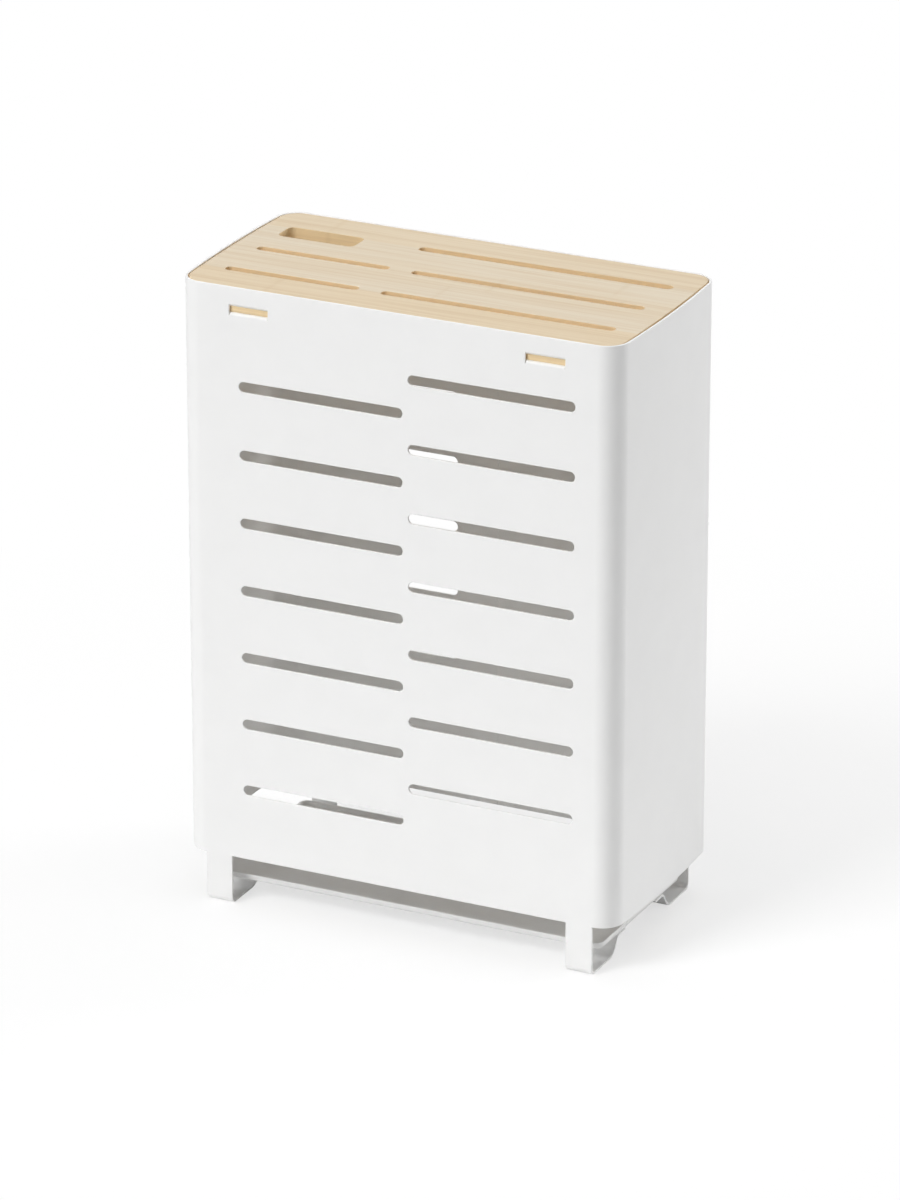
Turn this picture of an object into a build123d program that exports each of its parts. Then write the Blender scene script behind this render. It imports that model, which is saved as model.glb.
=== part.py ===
from build123d import *
import os
from math import cos, radians, sin

# Knife block: a folded sheet-steel body on four hooked feet, a drop-in bamboo board
# with blade slots, and a shallow drip tray that lies on the hooks.
# Millimetres, +Z up, front towards -Y, origin on the ground under the body's centre.

# Body
width = 200.0
depth = 98.0
body_height = 252.0
sheet = 1.0
corner_radius = 10.0
side_crown_radius = 600.0

# Air slots in the front wall: two staggered columns, set a little to the right
slot_length = 74.0
slot_height = 4.5
slot_pitch = 29.7
slot_rows = 7
slot_column_gap = 2.5
slot_column_shift = 4.3
top_slot_drop = 27.6

# Air slots in the rear wall, one column on each side of the weld seam
rear_slot_length = 60.0
rear_slot_pitch = 28.9
rear_slot_rise = 3.0
seam_margin = 19.0

# Board openings, in three rows
board_thickness = 11.1
board_drop = 0.1
board_gap = 0.4
board_side_gap = 1.1
board_crown_radius = 1000.0
board_edge_chamfer = 0.3
row_pitch = 28.0
slot_end_margin = 12.8
blade_slot_width = 4.5
wide_slot_width = 5.0
short_slot_length = 60.5
slot_bridge = 10.2
shears_length = 35.0
shears_width = 12.6
shears_corner = 3.0
shears_offset = 23.7
shears_bridge = 25.4

# Windows near the rim, where the board's rests are folded inwards
window_width = 17.5
window_height = 3.6
window_spacing = 132.5
rest_side_relief = 0.2
rest_bend_radius = 1.5

# Feet: strips of the front and rear walls, folded under, up, and level again under the tray
foot_height = 21.8
foot_width = 12.0
feet_span = 177.5
foot_bend_radius = 3.0
foot_flat_end = 18.0
hook_radius = 7.0
hook_angle = 56.0
shoulder_radius = 2.0
tab_length = 6.5

# Drip tray
tray_drop = 10.9
tray_height = 3.0
tray_width = 178.0
tray_depth = 81.0
tray_sheet = 0.8
tray_corner = 4.0
tray_draft = 8.0
tray_fold_radius = 0.6

# Levels and lines that follow from the sizes above
rim_level = foot_height + body_height
board_top = rim_level - board_drop
board_bottom = board_top - board_thickness
tray_rim = foot_height - tray_drop
tray_bottom = tray_rim - tray_height
front_face = -depth / 2
foot_centre = (feet_span - foot_width) / 2
slot_end = width / 2 - slot_end_margin
long_slot_length = 2 * slot_end - slot_bridge - short_slot_length
rear_row_slot_length = 2 * slot_end - shears_bridge - shears_length


def crowned_plan(inset, side_inset, crown_radius):
    """Plan outline inside the body's faces: by inset in front, by side_inset at mid-side."""
    with BuildSketch() as plan:
        half_width = width / 2 - side_inset
        Rectangle(2 * half_width, depth - 2 * inset)
        for side in (-1, 1):
            with Locations((side * (half_width - crown_radius), 0)):
                Circle(crown_radius, mode=Mode.INTERSECT)
        fillet(plan.vertices(), corner_radius - inset)
    return plan.sketch


def hook_section():
    """Side section of a front foot, as (y, z): down the wall, under, up, and level as a tab."""
    rise = radians(hook_angle)
    bends_rise = (hook_radius + shoulder_radius) * (1 - cos(rise))
    straight = (tray_bottom - sheet - bends_rise) / sin(rise)
    with BuildSketch() as section:
        with BuildLine():
            wall = Line((front_face, foot_height), (front_face, foot_bend_radius))
            heel = JernArc(wall @ 1, wall % 1, foot_bend_radius, 90)
            sole = Line(heel @ 1, (front_face + foot_flat_end, 0))
            curl = JernArc(sole @ 1, sole % 1, hook_radius, hook_angle)
            ramp = Line(curl @ 1, (curl @ 1) + (curl % 1) * straight)
            shoulder = JernArc(ramp @ 1, ramp % 1, shoulder_radius, -hook_angle)
            Line(shoulder @ 1, (shoulder @ 1) + (shoulder % 1) * tab_length)
            offset(amount=sheet, side=Side.LEFT)
        make_face()
    return section.sketch


def rest_section():
    """Side section of a front rest, as (y, z): the wall's sheet folded in under the board."""
    with BuildSketch() as section:
        with BuildLine():
            fold_start = board_bottom - rest_bend_radius
            root = Line((front_face, fold_start - rest_bend_radius), (front_face, fold_start))
            fold = JernArc(root @ 1, root % 1, rest_bend_radius, -90)
            Line(fold @ 1, (front_face + sheet + window_height, board_bottom))
            offset(amount=sheet, side=Side.RIGHT)
        make_face()
    return section.sketch


outer_plan = crowned_plan(0, 0, side_crown_radius)
inner_plan = crowned_plan(sheet, sheet, side_crown_radius - sheet)
board_plan = crowned_plan(sheet + board_gap, sheet + board_side_gap, board_crown_radius)
hook = hook_section()
rest = rest_section()

# Body: a tube of sheet, pierced, with rests and feet folded out of the same sheet
with BuildPart() as body:
    with BuildSketch(Plane.XY.offset(foot_height)):
        add(outer_plan)
        add(inner_plan, mode=Mode.SUBTRACT)
    extrude(amount=body_height)

    # Front slots: the right column starts half a pitch above the left one
    column_centre = (slot_length + slot_column_gap) / 2
    top_row = rim_level - top_slot_drop
    half_rows = (slot_rows - 1) * slot_pitch / 2
    for side, top in ((1, top_row), (-1, top_row - slot_pitch / 2)):
        with BuildSketch(Plane.XZ.offset(depth / 2)):
            with Locations((slot_column_shift + side * column_centre, top - half_rows)):
                with GridLocations(0, slot_pitch, 1, slot_rows):
                    SlotOverall(slot_length, slot_height)
        extrude(amount=-2 * sheet, mode=Mode.SUBTRACT)

        # Rear slots, set around a centre a little above that of the front column on the same side
        with BuildSketch(Plane.XZ.offset(-depth / 2)):
            rear_centre = side * (seam_margin + rear_slot_length / 2)
            with Locations((rear_centre, top + rear_slot_rise - half_rows)):
                with GridLocations(0, rear_slot_pitch, 1, slot_rows):
                    SlotOverall(rear_slot_length, slot_height)
        extrude(amount=2 * sheet, mode=Mode.SUBTRACT)

    # Windows that the rests leave open, in the front and rear walls
    with BuildSketch(Plane.XZ.offset(depth / 2)):
        with GridLocations(window_spacing, 0, 2, 1):
            with Locations((0, board_bottom - rest_bend_radius)):
                Rectangle(
                    window_width,
                    window_height + rest_bend_radius,
                    align=(Align.CENTER, Align.MIN),
                )
    extrude(amount=-depth, mode=Mode.SUBTRACT)

    # Rests under the board, front and rear
    for side in (-1, 1):
        rest_start = side * window_spacing / 2 - window_width / 2 + rest_side_relief
        with BuildSketch(Plane.YZ.offset(rest_start)):
            add(rest)
            mirror(rest, about=Plane.YZ)
        extrude(amount=window_width - 2 * rest_side_relief)

    # Feet, front and rear
    for side in (-1, 1):
        with BuildSketch(Plane.YZ.offset(side * foot_centre - foot_width / 2)):
            add(hook)
            mirror(hook, about=Plane.YZ)
        extrude(amount=foot_width)
body.part.label = "body"

# Board: dropped into the rim, carried by the four rests
with BuildPart() as board:
    with BuildSketch(Plane.XY.offset(board_bottom)):
        add(board_plan)
        for row in (-row_pitch, 0):
            with Locations((-slot_end + short_slot_length / 2, row)):
                SlotOverall(short_slot_length, blade_slot_width, mode=Mode.SUBTRACT)
            with Locations((slot_end - long_slot_length / 2, row)):
                SlotOverall(long_slot_length, blade_slot_width, mode=Mode.SUBTRACT)
        with Locations((slot_end - rear_row_slot_length / 2, row_pitch)):
            SlotOverall(rear_row_slot_length, wide_slot_width, mode=Mode.SUBTRACT)
        with Locations((-slot_end + shears_length / 2, shears_offset)):
            RectangleRounded(shears_length, shears_width, shears_corner, mode=Mode.SUBTRACT)
    extrude(amount=board_thickness)
    chamfer(board.faces().sort_by(Axis.Z)[-1].edges(), board_edge_chamfer)
board.part.label = "board"

# Tray: a shallow pressing with drafted sides and rounded folds
with BuildPart() as tray:
    with BuildSketch(Plane.XY.offset(tray_rim)):
        RectangleRounded(tray_width, tray_depth, tray_corner)
    extrude(amount=-tray_height, taper=tray_draft)
    fillet(tray.faces().sort_by(Axis.Z)[0].edges(), tray_fold_radius + tray_sheet)
    with BuildSketch(Plane.XY.offset(tray_rim)):
        RectangleRounded(
            tray_width - 2 * tray_sheet,
            tray_depth - 2 * tray_sheet,
            tray_corner - tray_sheet,
        )
    extrude(amount=tray_sheet - tray_height, taper=tray_draft, mode=Mode.SUBTRACT)
    tray_floor = tray.faces().filter_by(Axis.Z).sort_by(Axis.Z)[1]
    fillet(tray_floor.edges(), tray_fold_radius)
tray.part.label = "tray"

os.makedirs("parts", exist_ok=True)
export_step(body.part, "parts/body.step")
export_step(board.part, "parts/board.step")
export_step(tray.part, "parts/tray.step")
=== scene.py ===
from math import asin, cos, pi, radians, sin, tan

import bmesh
import bpy
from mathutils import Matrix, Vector


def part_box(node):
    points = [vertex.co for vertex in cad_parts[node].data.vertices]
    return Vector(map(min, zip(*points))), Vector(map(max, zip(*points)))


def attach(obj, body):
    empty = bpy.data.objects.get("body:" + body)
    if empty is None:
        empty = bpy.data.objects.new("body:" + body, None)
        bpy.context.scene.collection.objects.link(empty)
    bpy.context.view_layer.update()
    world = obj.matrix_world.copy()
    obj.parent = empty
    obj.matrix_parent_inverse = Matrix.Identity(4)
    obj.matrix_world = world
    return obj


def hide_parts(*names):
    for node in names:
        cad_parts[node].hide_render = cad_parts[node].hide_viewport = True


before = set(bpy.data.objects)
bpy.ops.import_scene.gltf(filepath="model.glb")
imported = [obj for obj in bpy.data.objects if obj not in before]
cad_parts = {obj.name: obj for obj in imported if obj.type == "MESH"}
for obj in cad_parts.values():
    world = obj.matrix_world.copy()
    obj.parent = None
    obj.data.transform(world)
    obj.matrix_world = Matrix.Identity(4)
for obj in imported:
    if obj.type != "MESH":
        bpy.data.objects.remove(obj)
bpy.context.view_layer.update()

# The knife block in metres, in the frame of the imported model: front towards -Y, +Z up.
MM = 0.001

# Body: a blank of sheet steel that is folded into four walls
body_low, body_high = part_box("body")
DEPTH = body_high.y - body_low.y
RIM = body_high.z
WIDTH = 200.0 * MM
FOOT_HEIGHT = 21.8 * MM
SHEET = 1.0 * MM
CORNER_RADIUS = 10.0 * MM
SIDE_RADIUS = 600.0 * MM
EDGE_ROUND = 0.3 * MM

# Meshing: steps of the round parts, and the reach within which points count as the same
SIDE_STEPS = 12
CORNER_STEPS = 20
EDGE_STEPS = 2
SLOT_END_STEPS = 10
FOOT_BEND_STEPS = 10
SHOULDER_STEPS = 8
REST_STEPS = 6
TRAY_CORNER_STEPS = 8
SAME_POINT = 0.002 * MM
ON_PLANE = 0.001 * MM
SHARP_ANGLE = radians(40)
FLAT_FACE_WEIGHT = 80

# Air slots
SLOT_LENGTH = 74.0 * MM
SLOT_HEIGHT = 4.5 * MM
SLOT_PITCH = 29.7 * MM
SLOT_ROWS = 7
SLOT_GAP = 2.5 * MM
SLOT_SHIFT = 4.3 * MM
TOP_SLOT_DROP = 27.6 * MM
REAR_SLOT_LENGTH = 60.0 * MM
REAR_SLOT_PITCH = 28.9 * MM
REAR_SLOT_RISE = 3.0 * MM
SEAM_MARGIN = 19.0 * MM

# Windows, and the rests folded inwards out of them
WINDOW_WIDTH = 17.5 * MM
WINDOW_HEIGHT = 3.6 * MM
WINDOW_SPACING = 132.5 * MM
WINDOW_CORNER = 0.4 * MM
REST_RELIEF = 0.2 * MM
REST_BEND = 1.1 * MM
REST_CUT = 0.2 * MM
REST_SLACK = 0.01 * MM

# Feet
FOOT_WIDTH = 12.0 * MM
FEET_SPAN = 177.5 * MM
FOOT_CORNER = 0.4 * MM
FOOT_BEND = 3.0 * MM
FOOT_FLAT_END = 18.0 * MM
HOOK_RADIUS = 7.0 * MM
HOOK_ANGLE = radians(56.0)
SHOULDER_RADIUS = 2.0 * MM
TAB_LENGTH = 6.5 * MM

# Board
board_low, board_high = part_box("board")
BOARD_GAP = 0.4 * MM
BOARD_SIDE_RADIUS = 1000.0 * MM
BOARD_ROUND = 0.3 * MM
ROW_PITCH = 28.0 * MM
SLOT_END = WIDTH / 2 - 12.8 * MM
BLADE_SLOT = 4.5 * MM
WIDE_SLOT = 5.0 * MM
SHORT_SLOT_LENGTH = 60.5 * MM
SLOT_BRIDGE = 10.2 * MM
SHEARS_LENGTH = 35.0 * MM
SHEARS_WIDTH = 12.6 * MM
SHEARS_CORNER = 3.0 * MM
SHEARS_OFFSET = 23.7 * MM
SHEARS_BRIDGE = 25.4 * MM

# Tray
tray_low, tray_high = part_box("tray")
TRAY_SHEET = 0.8 * MM
TRAY_CORNER = 4.0 * MM
TRAY_DRAFT = radians(8.0)
TRAY_FOLD = 0.6 * MM
TRAY_LIP = 0.49 * TRAY_SHEET
TRAY_LEAST_CORNER = 0.3 * MM
TRAY_FLOOR_INSET = 12.0 * MM

# Camera: the photograph's viewing angle, from a distance at which its outline fits best
VIEW_TURN = radians(25.8)
VIEW_TILT = radians(21.72)
VIEW_DISTANCE = 2825.7 * MM
VIEW_TARGET = Vector((1.2, -1.0, 133.4)) * MM
SENSOR = 24.0
LENS = 136.8
VIEW_END = 50.0

# Bamboo: linear colours of its pale and deep strips, its fibres, and its cut faces; these are a deeper
# orange and also painted lighter than the top, as painted light
PALE_BAMBOO = (0.785, 0.71, 0.585, 1.0)
DEEP_BAMBOO = (0.785, 0.645, 0.455, 1.0)
DARK_FIBRE = (0.60, 0.43, 0.25, 1.0)
CUT_BAMBOO_WITH_PAINTED_LIGHT = (0.94, 0.73, 0.43, 1.0)

# Bamboo: its strips are counted along Y from STRIP_START in front of the middle, and are pale
# up to PALE_END from the middle and deep from DEEP_START on
STRIP_WIDTH = 19.0 * MM
STRIP_START = 0.2
PALE_END = 0.02
DEEP_START = 0.035
KNUCKLE_SPAN = 0.09
KNUCKLE_REACH = 1.1 * MM
FIBRE_SCALE = (14.0, 900.0, 900.0)
STREAK_SCALE = (5.0, 260.0, 260.0)
CLOUD_SCALE = (9.0, 30.0, 30.0)
BAMBOO_ROUGHNESS = (0.62, 0.78)
BAMBOO_SPECULAR = 0.15
FIBRE_BUMP = 0.15

# Powder coat: linear tones of the body and the tray, and the scales of mottle and peel
COAT_TONE = (0.925, 0.925, 0.92)
TRAY_TONE = (0.87, 0.87, 0.865)
MOTTLE_DULLING = 0.985
MOTTLE_SCALE = 60.0
PEEL_SCALE = 900.0
PEEL_BUMP = 0.12
COAT_ROUGHNESS = (0.5, 0.6)
COAT_SPECULAR = 0.35

# Both finishes: the depth of their relief, and the range in which most of a noise lies
RELIEF = 0.05 * MM
NOISE_RANGE = (0.3, 0.7)

# Floor: the tones that light the block, from FLOOR_NEAR to FLOOR_FAR of the middle, the tone
# that the camera sees, and how far its shadow is lifted, from SHADOW_NEAR to SHADOW_FAR
FLOOR_TONE = 0.85
FAR_FLOOR_TONE = 0.60
FLOOR_NEAR = 0.3
FLOOR_FAR = 0.7
FLOOR_SEEN = 0.98
FLOOR_ROUGHNESS = 0.9
FLOOR_REACH = 15.0
SHADOW_LIFT = 0.62
SHADOW_NEAR = 0.12
SHADOW_FAR = 0.45

# Light: the sky's strength, white, and the bounces that light needs to reach the body's inside
SKY = 0.03
WHITE = (1.0, 1.0, 1.0, 1.0)
DIFFUSE_BOUNCES = 16


def add_camera():
    """A long lens to the right of the front and above it."""
    data = bpy.data.cameras.new("camera")
    data.sensor_fit = "VERTICAL"
    data.sensor_height = SENSOR
    data.lens = LENS
    data.clip_end = VIEW_END
    away = Vector((sin(VIEW_TURN) * cos(VIEW_TILT), -cos(VIEW_TURN) * cos(VIEW_TILT), sin(VIEW_TILT)))
    camera = bpy.data.objects.new("camera", data)
    camera.location = VIEW_TARGET + VIEW_DISTANCE * away
    camera.rotation_euler = away.to_track_quat("Z", "Y").to_euler()
    bpy.context.scene.collection.objects.link(camera)
    bpy.context.scene.camera = camera


class Plan:
    """A plan outline: straight front and rear, round corners, crowned sides."""

    def __init__(self, half_width, half_depth, corner, crown):
        self.half_depth, self.corner, self.crown = half_depth, corner, crown
        self.corner_y = half_depth - corner
        self.half_angle = asin(self.corner_y / (crown - corner))
        self.side_x = half_width - crown
        self.corner_x = self.side_x + (crown - corner) * cos(self.half_angle)
        self.corner_length = corner * (pi / 2 - self.half_angle)
        self.side_length = crown * 2 * self.half_angle
        self.side_start = self.corner_x + self.corner_length
        self.side_end = self.side_start + self.side_length
        self.rear_start = self.side_end + self.corner_length
        self.half_girth = self.rear_start + self.corner_x

    def point(self, run):
        """The point at a run along the outline, and the inward normal there.
        The run is 0 at the middle of the front, and positive towards +X."""
        s = abs(run)
        if s <= self.corner_x:
            point, inward = (s, -self.half_depth), (0.0, 1.0)
        elif s <= self.side_start:
            turn = (s - self.corner_x) / self.corner
            inward = (-sin(turn), cos(turn))
            point = (self.corner_x - self.corner * inward[0], -self.corner_y - self.corner * inward[1])
        elif s <= self.side_end:
            turn = (s - self.side_start) / self.crown - self.half_angle
            inward = (-cos(turn), -sin(turn))
            point = (self.side_x - self.crown * inward[0], -self.crown * inward[1])
        elif s <= self.rear_start:
            turn = (s - self.side_end) / self.corner + self.half_angle
            inward = (-cos(turn), -sin(turn))
            point = (self.corner_x - self.corner * inward[0], self.corner_y - self.corner * inward[1])
        else:
            point, inward = (self.half_girth - s, self.half_depth), (0.0, -1.0)
        side = 1 if run >= 0 else -1
        return Vector((side * point[0], point[1])), Vector((side * inward[0], inward[1]))

    def curved_runs(self):
        """Runs that divide the corners and the sides of the right half evenly."""
        runs = [self.side_start + self.side_length * step / SIDE_STEPS for step in range(1, SIDE_STEPS)]
        for start in (self.corner_x, self.side_end):
            runs += [start + self.corner_length * step / CORNER_STEPS for step in range(CORNER_STEPS + 1)]
        return sorted(runs)


walls = Plan(WIDTH / 2, DEPTH / 2, CORNER_RADIUS, SIDE_RADIUS)
half_girth = walls.half_girth

# Lengths of a foot's strip, measured on its outer face from the body's lower edge
leg_length = FOOT_HEIGHT - FOOT_BEND
heel_end = leg_length + FOOT_BEND * pi / 2
sole_end = heel_end + FOOT_FLAT_END - FOOT_BEND
curl_end = sole_end + HOOK_RADIUS * HOOK_ANGLE
bends_rise = (HOOK_RADIUS + SHOULDER_RADIUS) * (1 - cos(HOOK_ANGLE))
ramp_end = curl_end + (tray_low.z - SHEET - bends_rise) / sin(HOOK_ANGLE)
shoulder_end = ramp_end + SHOULDER_RADIUS * HOOK_ANGLE
foot_length = shoulder_end + TAB_LENGTH


def foot_point(s):
    """(inward, z) of a foot's outer face, and the sheet's inner direction, (inward, z)."""
    if s <= leg_length:
        return (0.0, FOOT_HEIGHT - s), (1.0, 0.0)
    if s <= heel_end:
        turn = (s - leg_length) / FOOT_BEND
        return (FOOT_BEND * (1 - cos(turn)), FOOT_BEND * (1 - sin(turn))), (cos(turn), sin(turn))
    if s <= sole_end:
        return (FOOT_BEND + s - heel_end, 0.0), (0.0, 1.0)
    rise = min((s - sole_end) / HOOK_RADIUS, HOOK_ANGLE)
    ramp = min(max(s - curl_end, 0.0), ramp_end - curl_end)
    fall = min(max(s - ramp_end, 0.0) / SHOULDER_RADIUS, HOOK_ANGLE)
    slope = rise - fall
    inward = FOOT_FLAT_END + HOOK_RADIUS * sin(rise) + ramp * cos(HOOK_ANGLE)
    inward += SHOULDER_RADIUS * (sin(HOOK_ANGLE) - sin(HOOK_ANGLE - fall)) + max(s - shoulder_end, 0.0)
    height = HOOK_RADIUS * (1 - cos(rise)) + ramp * sin(HOOK_ANGLE)
    height += SHOULDER_RADIUS * (cos(HOOK_ANGLE - fall) - cos(HOOK_ANGLE))
    return (inward, height), (-sin(slope), cos(slope))


# A rest's strip, from the line where its fold starts; the blank's strip is a little shorter
rest_root = board_low.z - REST_BEND
rest_flat = SHEET + WINDOW_HEIGHT - REST_BEND
rest_length = REST_BEND * pi / 2 + rest_flat
rest_blank = WINDOW_HEIGHT + REST_BEND - REST_CUT
rest_half_width = WINDOW_WIDTH / 2 - REST_RELIEF


def rest_point(s):
    """(inward, z) of a rest's upper face, and the sheet's lower direction, (inward, z)."""
    turn = min(s / REST_BEND, pi / 2)
    flat = max(s - REST_BEND * pi / 2, 0.0)
    return (REST_BEND * (1 - cos(turn)) + flat, rest_root + REST_BEND * sin(turn)), (cos(turn), -sin(turn))


def rounded(points, radii, steps=5):
    """A closed outline of (x, y) points with its corners rounded by arcs."""
    out = []
    for i, (corner, radius) in enumerate(zip(points, radii)):
        here = Vector(corner)
        if radius <= 0:
            out.append(tuple(here))
            continue
        before = (Vector(points[i - 1]) - here).normalized()
        after = (Vector(points[(i + 1) % len(points)]) - here).normalized()
        half = before.angle(after) / 2
        centre = here + (before + after).normalized() * radius / sin(half)
        start = here + before * radius / tan(half) - centre
        end = here + after * radius / tan(half) - centre
        full = start.angle(end)
        for step in range(steps + 1):
            t = step / steps
            spoke = (start * sin((1 - t) * full) + end * sin(t * full)) / sin(full)
            out.append(tuple(centre + spoke))
    return out


def slot_outline(x, y, length, width):
    """A slot with round ends, centred on (x, y) and running along x."""
    reach = (length - width) / 2
    out = []
    for side in (1, -1):
        for step in range(SLOT_END_STEPS + 1):
            turn = pi * step / SLOT_END_STEPS - pi / 2
            out.append((x + side * (reach + width / 2 * cos(turn)), y + side * width / 2 * sin(turn)))
    return out


def plate_mesh(name, outlines, thickness, edge):
    """A flat plate with holes, from -thickness/2 to thickness/2 in z, all its edges rounded."""
    curve = bpy.data.curves.new(name, "CURVE")
    curve.dimensions = "2D"
    curve.fill_mode = "BOTH"
    curve.extrude = thickness / 2 - edge
    curve.bevel_depth = edge
    curve.bevel_resolution = EDGE_STEPS
    curve.offset = -edge
    for outline in outlines:
        spline = curve.splines.new("POLY")
        spline.points.add(len(outline) - 1)
        for point, (x, y) in zip(spline.points, outline):
            point.co = (x, y, 0.0, 1.0)
        spline.use_cyclic_u = True
    source = bpy.data.objects.new(name, curve)
    bpy.context.scene.collection.objects.link(source)
    bpy.context.view_layer.update()
    mesh = bpy.data.meshes.new_from_object(source.evaluated_get(bpy.context.evaluated_depsgraph_get()))
    bpy.data.objects.remove(source)
    bpy.data.curves.remove(curve)
    mesh.name = name
    return mesh


def finish_mesh(mesh, name, material, body, replaced):
    """An object of a mesh: smooth across round edges, flat on flat faces."""
    mesh.materials.clear()
    mesh.materials.append(material)
    mesh.shade_smooth()
    mesh.set_sharp_from_angle(angle=SHARP_ANGLE)
    piece = bpy.data.objects.new(name, mesh)
    bpy.context.scene.collection.objects.link(piece)
    normals = piece.modifiers.new("face_weighted_normals", "WEIGHTED_NORMAL")
    normals.mode = "FACE_AREA"
    normals.weight = FLAT_FACE_WEIGHT
    normals.keep_sharp = True
    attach(piece, body)
    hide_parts(replaced)
    return piece


def run_pairs(x):
    """Runs of the four places at x and -x in the front and the rear wall, in order."""
    return [x - half_girth, -x, x, half_girth - x]


def blank_outlines():
    """The body's blank, as (run, height): the sheet with its feet, and its holes."""
    edge, corners = [], []
    foot_middle = (FEET_SPAN - FOOT_WIDTH) / 2
    edge.append((-half_girth, FOOT_HEIGHT))
    corners.append(0.0)
    for middle in run_pairs(foot_middle):
        left, right = middle - FOOT_WIDTH / 2, middle + FOOT_WIDTH / 2
        tip = FOOT_HEIGHT - foot_length
        edge += [(left, FOOT_HEIGHT), (left, tip), (right, tip), (right, FOOT_HEIGHT)]
        corners += [0.0, FOOT_CORNER, FOOT_CORNER, 0.0]
    edge += [(half_girth, FOOT_HEIGHT), (half_girth, RIM), (-half_girth, RIM)]
    corners += [0.0, 0.0, 0.0]
    outlines = [rounded(edge, corners)]

    top_row = RIM - TOP_SLOT_DROP
    half_rows = (SLOT_ROWS - 1) / 2
    for side, top in ((1, top_row), (-1, top_row - SLOT_PITCH / 2)):
        front = SLOT_SHIFT + side * (SLOT_LENGTH + SLOT_GAP) / 2
        rear = side * (half_girth - SEAM_MARGIN - REAR_SLOT_LENGTH / 2)
        middle = top - half_rows * SLOT_PITCH
        for row in range(SLOT_ROWS):
            height = middle + (half_rows - row) * SLOT_PITCH
            outlines.append(slot_outline(front, height, SLOT_LENGTH, SLOT_HEIGHT))
            height = middle + REAR_SLOT_RISE + (half_rows - row) * REAR_SLOT_PITCH
            outlines.append(slot_outline(rear, height, REAR_SLOT_LENGTH, SLOT_HEIGHT))

    top = board_low.z + WINDOW_HEIGHT
    tip = rest_root + rest_blank
    for middle in run_pairs(WINDOW_SPACING / 2):
        left, right = middle - WINDOW_WIDTH / 2, middle + WINDOW_WIDTH / 2
        window = [
            (left, rest_root), (middle - rest_half_width, rest_root),
            (middle - rest_half_width, tip), (middle + rest_half_width, tip),
            (middle + rest_half_width, rest_root), (right, rest_root),
            (right, top), (left, top),
        ]
        radii = [0.0, 0.0, WINDOW_CORNER, WINDOW_CORNER, 0.0, 0.0, WINDOW_CORNER, WINDOW_CORNER]
        outlines.append(rounded(window, radii, steps=3))
    return outlines


def fold_lines():
    """Runs and heights at which the blank is divided, so that it can bend there."""
    runs = walls.curved_runs()
    runs = runs + [-run for run in runs]
    heights = []
    bends = (
        (leg_length, heel_end, FOOT_BEND_STEPS),
        (sole_end, curl_end, FOOT_BEND_STEPS),
        (ramp_end, shoulder_end, SHOULDER_STEPS),
    )
    for start, end, steps in bends:
        heights += [FOOT_HEIGHT - start - (end - start) * step / steps for step in range(steps + 1)]
    stretch = rest_length / rest_blank
    rest_fold = REST_BEND * pi / 2 / stretch
    heights += [rest_root + rest_fold * step / REST_STEPS for step in range(REST_STEPS + 1)]
    return runs, heights


def fold(co):
    """A blank's point (run, height, depth) in its place on the folded body."""
    run, height = co.x, co.y
    depth = SHEET / 2 - co.z
    wall, inward = walls.point(run)
    along, direction = (0.0, height), (1.0, 0.0)
    if height < FOOT_HEIGHT:
        along, direction = foot_point(FOOT_HEIGHT - height)
    elif rest_root < height < rest_root + rest_blank + EDGE_ROUND:
        reach = rest_half_width + REST_SLACK
        if any(abs(run - middle) < reach for middle in run_pairs(WINDOW_SPACING / 2)):
            along, direction = rest_point((height - rest_root) * rest_length / rest_blank)
    place = wall + inward * (along[0] + depth * direction[0])
    return Vector((place.x, place.y, along[1] + depth * direction[1]))


def make_body(material):
    """The folded sheet, as one mesh with a rounded cut edge and an open seam line."""
    mesh = plate_mesh("body_sheet", blank_outlines(), SHEET, EDGE_ROUND)
    shape = bmesh.new()
    shape.from_mesh(mesh)
    bmesh.ops.remove_doubles(shape, verts=shape.verts, dist=SAME_POINT)
    runs, heights = fold_lines()
    for axis, values in (((1, 0, 0), runs), ((0, 1, 0), heights)):
        for value in values:
            geometry = shape.verts[:] + shape.edges[:] + shape.faces[:]
            place = Vector(axis) * value
            bmesh.ops.bisect_plane(shape, geom=geometry, dist=ON_PLANE, plane_co=place, plane_no=axis)
    for vertex in shape.verts:
        vertex.co = fold(vertex.co)
    bmesh.ops.recalc_face_normals(shape, faces=shape.faces)
    shape.to_mesh(mesh)
    shape.free()
    return finish_mesh(mesh, "body_sheet", material, "body", "body")


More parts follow.
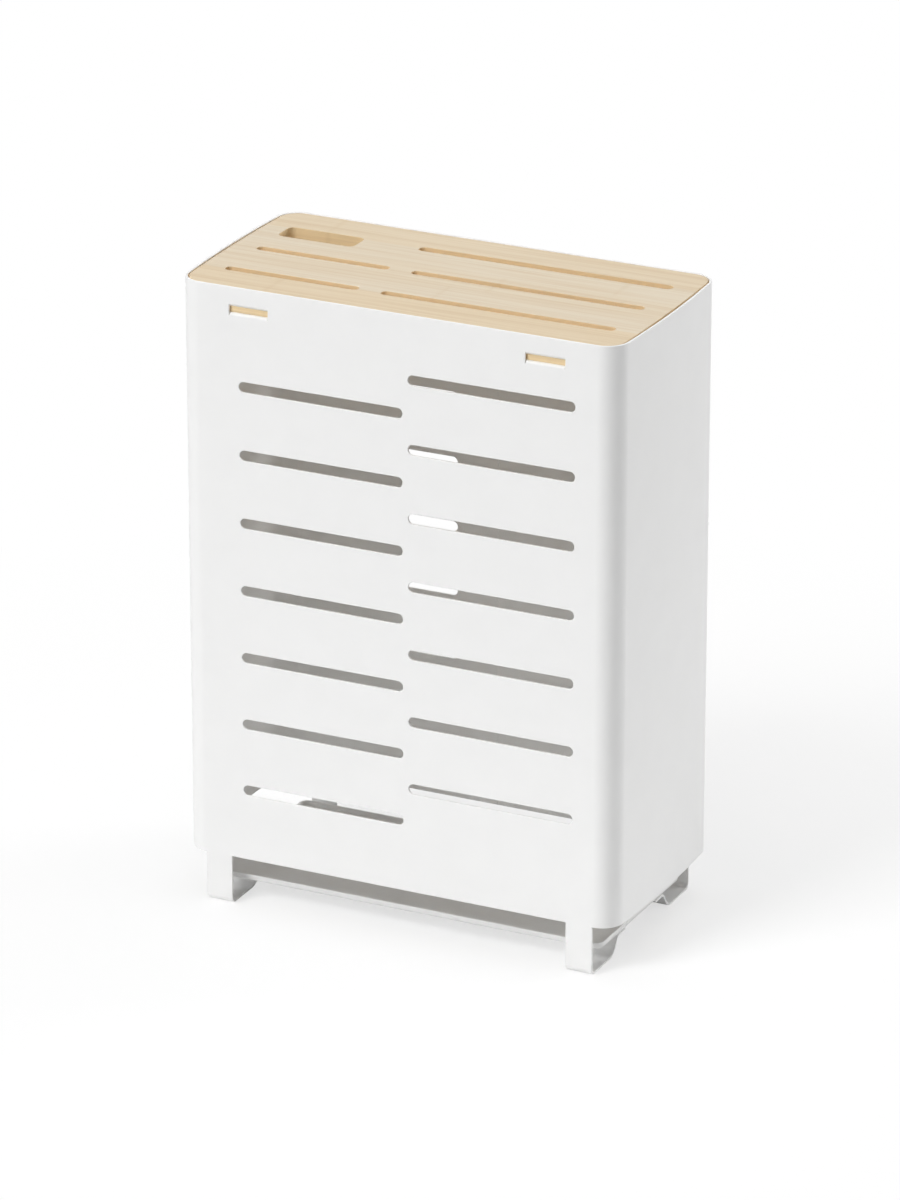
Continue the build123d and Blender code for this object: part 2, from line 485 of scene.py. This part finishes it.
def make_board(material):
    """The bamboo board with its blade slots and the shears hole."""
    corner = CORNER_RADIUS - SHEET - BOARD_GAP
    plan = Plan(board_high.x, board_high.y, corner, BOARD_SIDE_RADIUS)
    runs = [0.0] + plan.curved_runs() + [plan.half_girth]
    outline = [tuple(plan.point(run)[0]) for run in runs + [-run for run in reversed(runs[1:-1])]]
    left_middle = -SLOT_END + SHORT_SLOT_LENGTH / 2
    long_length = 2 * SLOT_END - SHORT_SLOT_LENGTH - SLOT_BRIDGE
    rear_length = 2 * SLOT_END - SHEARS_LENGTH - SHEARS_BRIDGE
    outlines = [outline]
    for row in (-ROW_PITCH, 0.0):
        outlines.append(slot_outline(left_middle, row, SHORT_SLOT_LENGTH, BLADE_SLOT))
        outlines.append(slot_outline(SLOT_END - long_length / 2, row, long_length, BLADE_SLOT))
    outlines.append(slot_outline(SLOT_END - rear_length / 2, ROW_PITCH, rear_length, WIDE_SLOT))
    near, far = SHEARS_OFFSET - SHEARS_WIDTH / 2, SHEARS_OFFSET + SHEARS_WIDTH / 2
    right = -SLOT_END + SHEARS_LENGTH
    shears = [(-SLOT_END, near), (right, near), (right, far), (-SLOT_END, far)]
    outlines.append(rounded(shears, [SHEARS_CORNER] * 4, steps=8))
    thickness = board_high.z - board_low.z
    mesh = plate_mesh("bamboo_board", outlines, thickness, BOARD_ROUND)
    shape = bmesh.new()
    shape.from_mesh(mesh)
    bmesh.ops.remove_doubles(shape, verts=shape.verts, dist=SAME_POINT)
    bmesh.ops.translate(shape, verts=shape.verts, vec=(0, 0, (board_high.z + board_low.z) / 2))
    bmesh.ops.recalc_face_normals(shape, faces=shape.faces)
    shape.to_mesh(mesh)
    shape.free()
    return finish_mesh(mesh, "bamboo_board", material, "board", "board")


def ring(inset, level):
    """A rounded rectangle inside the tray's rim, at a level."""
    half_x, half_y = tray_high.x - inset, tray_high.y - inset
    radius = max(TRAY_CORNER - inset, TRAY_LEAST_CORNER)
    points = []
    for quarter, (sx, sy) in enumerate(((1, 1), (-1, 1), (-1, -1), (1, -1))):
        for step in range(TRAY_CORNER_STEPS + 1):
            turn = pi / 2 * (quarter + step / TRAY_CORNER_STEPS)
            points.append(Vector((
                sx * (half_x - radius) + radius * cos(turn),
                sy * (half_y - radius) + radius * sin(turn),
                level,
            )))
    return points


def make_tray(material):
    """The tray, as rings along its section from under the floor, over the rim, to the floor."""
    height = tray_high.z - tray_low.z
    lean = tan(TRAY_DRAFT)
    corners = [
        (TRAY_FLOOR_INSET, tray_low.z),
        (height * lean, tray_low.z),
        (0.0, tray_high.z),
        (TRAY_SHEET, tray_high.z),
        (TRAY_SHEET + (height - TRAY_SHEET) * lean, tray_low.z + TRAY_SHEET),
        (TRAY_FLOOR_INSET, tray_low.z + TRAY_SHEET),
    ]
    section = rounded(corners, [0.0, TRAY_FOLD + TRAY_SHEET, TRAY_LIP, TRAY_LIP, TRAY_FOLD, 0.0])
    shape = bmesh.new()
    rings = [[shape.verts.new(point) for point in ring(inset, level)] for inset, level in section]
    count = len(rings[0])
    for lower, upper in zip(rings, rings[1:]):
        for i in range(count):
            k = (i + 1) % count
            shape.faces.new((lower[i], lower[k], upper[k], upper[i]))
    shape.faces.new(rings[0])
    shape.faces.new(list(reversed(rings[-1])))
    bmesh.ops.recalc_face_normals(shape, faces=shape.faces)
    mesh = bpy.data.meshes.new("drip_tray")
    shape.to_mesh(mesh)
    shape.free()
    return finish_mesh(mesh, "drip_tray", material, "tray", "tray")


class Nodes:
    """Short calls for building a node tree."""

    def __init__(self, tree):
        self.tree = tree

    def add(self, kind, inputs=None, **settings):
        node = self.tree.nodes.new(kind)
        for name, value in settings.items():
            setattr(node, name, value)
        for name, value in (inputs or {}).items():
            if isinstance(value, bpy.types.NodeSocket):
                self.tree.links.new(value, node.inputs[name])
            else:
                node.inputs[name].default_value = value
        return node

    def noise(self, vector, scale, detail=2.0, roughness=0.5):
        inputs = {"Vector": vector, "Scale": scale, "Detail": detail, "Roughness": roughness}
        return self.add("ShaderNodeTexNoise", inputs).outputs["Fac"]

    def math(self, operation, a, b=0.0):
        return self.add("ShaderNodeMath", {0: a, 1: b}, operation=operation).outputs[0]

    def map(self, value, low, high, to_low, to_high):
        inputs = {"Value": value, "From Min": low, "From Max": high, "To Min": to_low, "To Max": to_high}
        return self.add("ShaderNodeMapRange", inputs).outputs["Result"]

    def scaled(self, vector, scale):
        return self.add("ShaderNodeMapping", {"Vector": vector, "Scale": scale}).outputs["Vector"]

    def mix(self, factor, a, b):
        """A mix of two colours: a mix node has its colour sockets at 6 and 7, and its result at 2."""
        return self.add("ShaderNodeMix", {0: factor, 6: a, 7: b}, data_type="RGBA").outputs[2]


def new_material(name):
    """A material with an empty tree but for its shader: (material, nodes, shader)."""
    material = bpy.data.materials.new(name)
    material.use_nodes = True
    tree = material.node_tree
    tree.nodes.clear()
    nodes = Nodes(tree)
    shader = nodes.add("ShaderNodeBsdfPrincipled")
    output = nodes.add("ShaderNodeOutputMaterial")
    tree.links.new(shader.outputs[0], output.inputs[0])
    nodes.output = output
    return material, nodes, shader


def powder_coat(name, tone):
    """Fine matt powder coat: a slight orange peel and a faint mottle."""
    material, nodes, shader = new_material(name)
    place = nodes.add("ShaderNodeTexCoord").outputs["Object"]
    mottle = nodes.map(nodes.noise(place, MOTTLE_SCALE, 3.0), *NOISE_RANGE, 0.0, 1.0)
    dull = tuple(MOTTLE_DULLING * value for value in tone) + (1.0,)
    colour = nodes.mix(mottle, dull, tuple(tone) + (1.0,))
    nodes.tree.links.new(colour, shader.inputs["Base Color"])
    peel = nodes.noise(place, PEEL_SCALE, 2.0)
    rough = nodes.map(peel, *NOISE_RANGE, *COAT_ROUGHNESS)
    nodes.tree.links.new(rough, shader.inputs["Roughness"])
    bump = nodes.add("ShaderNodeBump", {"Height": peel, "Strength": PEEL_BUMP, "Distance": RELIEF})
    nodes.tree.links.new(bump.outputs[0], shader.inputs["Normal"])
    shader.inputs["Specular IOR Level"].default_value = COAT_SPECULAR
    return material


def bamboo():
    """Laminated bamboo: strips along X of slightly different tone, with fine fibres and knuckles."""
    material, nodes, shader = new_material("bamboo")
    place = nodes.add("ShaderNodeTexCoord").outputs["Object"]
    axes = nodes.add("ShaderNodeSeparateXYZ", {"Vector": place})
    x, y = axes.outputs["X"], axes.outputs["Y"]
    strip = nodes.math("FLOOR", nodes.math("DIVIDE", nodes.math("ADD", y, STRIP_START), STRIP_WIDTH))
    chance = nodes.add("ShaderNodeTexWhiteNoise", {"W": strip}, noise_dimensions="1D").outputs["Value"]
    fibres = nodes.noise(nodes.scaled(place, FIBRE_SCALE), 1.0, 4.0, 0.65)
    streaks = nodes.noise(nodes.scaled(place, STREAK_SCALE), 1.0, 3.0, 0.6)
    clouds = nodes.noise(nodes.scaled(place, CLOUD_SCALE), 1.0, 2.0)

    half_on = nodes.math("ADD", strip, 0.5)
    middle = nodes.math("SUBTRACT", nodes.math("MULTIPLY", half_on, STRIP_WIDTH), STRIP_START)
    outer = nodes.map(nodes.math("ABSOLUTE", middle), PALE_END, DEEP_START, 0.1, 0.6)
    deep = nodes.math("ADD", outer, nodes.map(chance, 0.0, 1.0, 0.0, 0.3))
    tone = nodes.mix(deep, PALE_BAMBOO, DEEP_BAMBOO)
    tone = nodes.mix(nodes.map(clouds, 0.35, 0.7, 0.0, 0.25), tone, DEEP_BAMBOO)

    # Upright faces (the walls of the slots and the shears hole, and the board's edges) take the cut faces'
    # colour. It is a deeper orange, and it is painted lighter than the top as painted light that stands in
    # for the light reaching into the slots.
    normal = nodes.add("ShaderNodeTexCoord").outputs["Normal"]
    facing = nodes.add("ShaderNodeSeparateXYZ", {"Vector": normal})
    upright = nodes.math("SUBTRACT", 1.0, nodes.math("ABSOLUTE", facing.outputs["Z"]))
    tone = nodes.mix(nodes.map(upright, 0.3, 0.8, 0.0, 0.8), tone, CUT_BAMBOO_WITH_PAINTED_LIGHT)

    draw = nodes.add("ShaderNodeTexWhiteNoise", {"W": half_on}, noise_dimensions="1D").outputs["Value"]
    knuckle = nodes.map(draw, 0.0, 1.0, -KNUCKLE_SPAN, KNUCKLE_SPAN)
    away = nodes.math("ABSOLUTE", nodes.math("SUBTRACT", x, knuckle))
    away = nodes.math("ADD", away, nodes.map(streaks, *NOISE_RANGE, 0.0, KNUCKLE_REACH))
    tone = nodes.mix(nodes.map(away, 0.0, 2 * KNUCKLE_REACH, 0.2, 0.0), tone, DARK_FIBRE)
    tone = nodes.mix(nodes.map(streaks, 0.48, 0.75, 0.0, 0.36), tone, DARK_FIBRE)
    tone = nodes.mix(nodes.map(fibres, 0.45, 0.8, 0.0, 0.45), tone, DARK_FIBRE)
    nodes.tree.links.new(tone, shader.inputs["Base Color"])

    rough = nodes.map(fibres, 0.3, 0.8, *BAMBOO_ROUGHNESS)
    nodes.tree.links.new(rough, shader.inputs["Roughness"])
    bump = nodes.add("ShaderNodeBump", {"Height": fibres, "Strength": FIBRE_BUMP, "Distance": RELIEF})
    nodes.tree.links.new(bump.outputs[0], shader.inputs["Normal"])
    shader.inputs["Specular IOR Level"].default_value = BAMBOO_SPECULAR
    return material


def add_floor():
    """A wide white floor. The camera sees its shadows softened, and plain white further away."""
    material, nodes, shader = new_material("floor_white")
    place = nodes.add("ShaderNodeTexCoord").outputs["Object"]
    reach = nodes.add("ShaderNodeVectorMath", {0: place}, operation="LENGTH").outputs["Value"]
    lift = nodes.map(reach, SHADOW_NEAR, SHADOW_FAR, SHADOW_LIFT, 1.0)
    camera_ray = nodes.add("ShaderNodeLightPath").outputs["Is Camera Ray"]
    around = nodes.map(reach, FLOOR_NEAR, FLOOR_FAR, FLOOR_TONE, FAR_FLOOR_TONE)
    tone = nodes.map(camera_ray, 0.0, 1.0, around, FLOOR_SEEN)
    nodes.tree.links.new(tone, shader.inputs["Base Color"])
    shader.inputs["Roughness"].default_value = FLOOR_ROUGHNESS
    shader.inputs["Specular IOR Level"].default_value = 0.0
    seen = nodes.math("MULTIPLY", camera_ray, lift)
    white = nodes.add("ShaderNodeEmission", {"Color": WHITE, "Strength": 1.0})
    mixed = nodes.add("ShaderNodeMixShader", {0: seen, 1: shader.outputs[0], 2: white.outputs[0]})
    nodes.tree.links.new(mixed.outputs[0], nodes.output.inputs[0])
    mesh = bpy.data.meshes.new("floor")
    corners = [(-FLOOR_REACH, -FLOOR_REACH, 0), (FLOOR_REACH, -FLOOR_REACH, 0)]
    corners += [(FLOOR_REACH, FLOOR_REACH, 0), (-FLOOR_REACH, FLOOR_REACH, 0)]
    mesh.from_pydata(corners, [], [(0, 1, 2, 3)])
    mesh.materials.append(material)
    floor = bpy.data.objects.new("floor", mesh)
    bpy.context.scene.collection.objects.link(floor)


def place_light(data, turn, height, distance):
    """Point a light at the middle of the block from a turn and a height in degrees.
    The turn is 0 in front of the block and 90 on its right."""
    turn, height = radians(turn), radians(height)
    away = Vector((sin(turn) * cos(height), -cos(turn) * cos(height), sin(height)))
    lamp = bpy.data.objects.new(data.name, data)
    lamp.location = Vector((0.0, 0.0, RIM / 2)) + distance * away
    lamp.rotation_euler = away.to_track_quat("Z", "Y").to_euler()
    bpy.context.scene.collection.objects.link(lamp)


def add_softbox(name, turn, height, distance, size, strength):
    """A square soft light; at strength 1 it alone lights a white face to 1."""
    data = bpy.data.lights.new(name, "AREA")
    data.size = size
    data.energy = strength * (pi * distance) ** 2
    place_light(data, turn, height, distance)


def add_overhead(strength, spread):
    """A very broad soft light from straight above; at strength 1 it lights a white floor to 1."""
    data = bpy.data.lights.new("overhead", "SUN")
    data.angle = spread
    data.energy = strength * pi
    place_light(data, turn=0.0, height=90.0, distance=3.0)


def add_world():
    """An even pale sky, which the camera sees as white."""
    world = bpy.data.worlds.new("studio")
    bpy.context.scene.world = world
    world.use_nodes = True
    world.node_tree.nodes.clear()
    nodes = Nodes(world.node_tree)
    path = nodes.add("ShaderNodeLightPath")
    seen = nodes.math("MAXIMUM", path.outputs["Is Camera Ray"], path.outputs["Is Glossy Ray"])
    seen = nodes.math("MAXIMUM", seen, path.outputs["Is Transmission Ray"])
    strength = nodes.map(seen, 0.0, 1.0, SKY, 1.0)
    sky = nodes.add("ShaderNodeBackground", {"Color": WHITE, "Strength": strength})
    output = nodes.add("ShaderNodeOutputWorld")
    nodes.tree.links.new(sky.outputs[0], output.inputs[0])


bpy.context.scene.view_settings.view_transform = "Standard"
bpy.context.scene.cycles.diffuse_bounces = DIFFUSE_BOUNCES

add_camera()
make_body(powder_coat("white_powder_coat", COAT_TONE))
make_board(bamboo())
make_tray(powder_coat("white_tray_coat", TRAY_TONE))
add_floor()
add_world()
add_overhead(strength=0.44, spread=radians(60.0))
add_softbox("high_front", turn=-26.0, height=45.0, distance=8.0, size=3.0, strength=0.55)
add_softbox("front_left", turn=-28.0, height=12.0, distance=3.0, size=1.2, strength=0.17)
add_softbox("right_rear", turn=132.0, height=12.0, distance=6.0, size=2.4, strength=0.49)
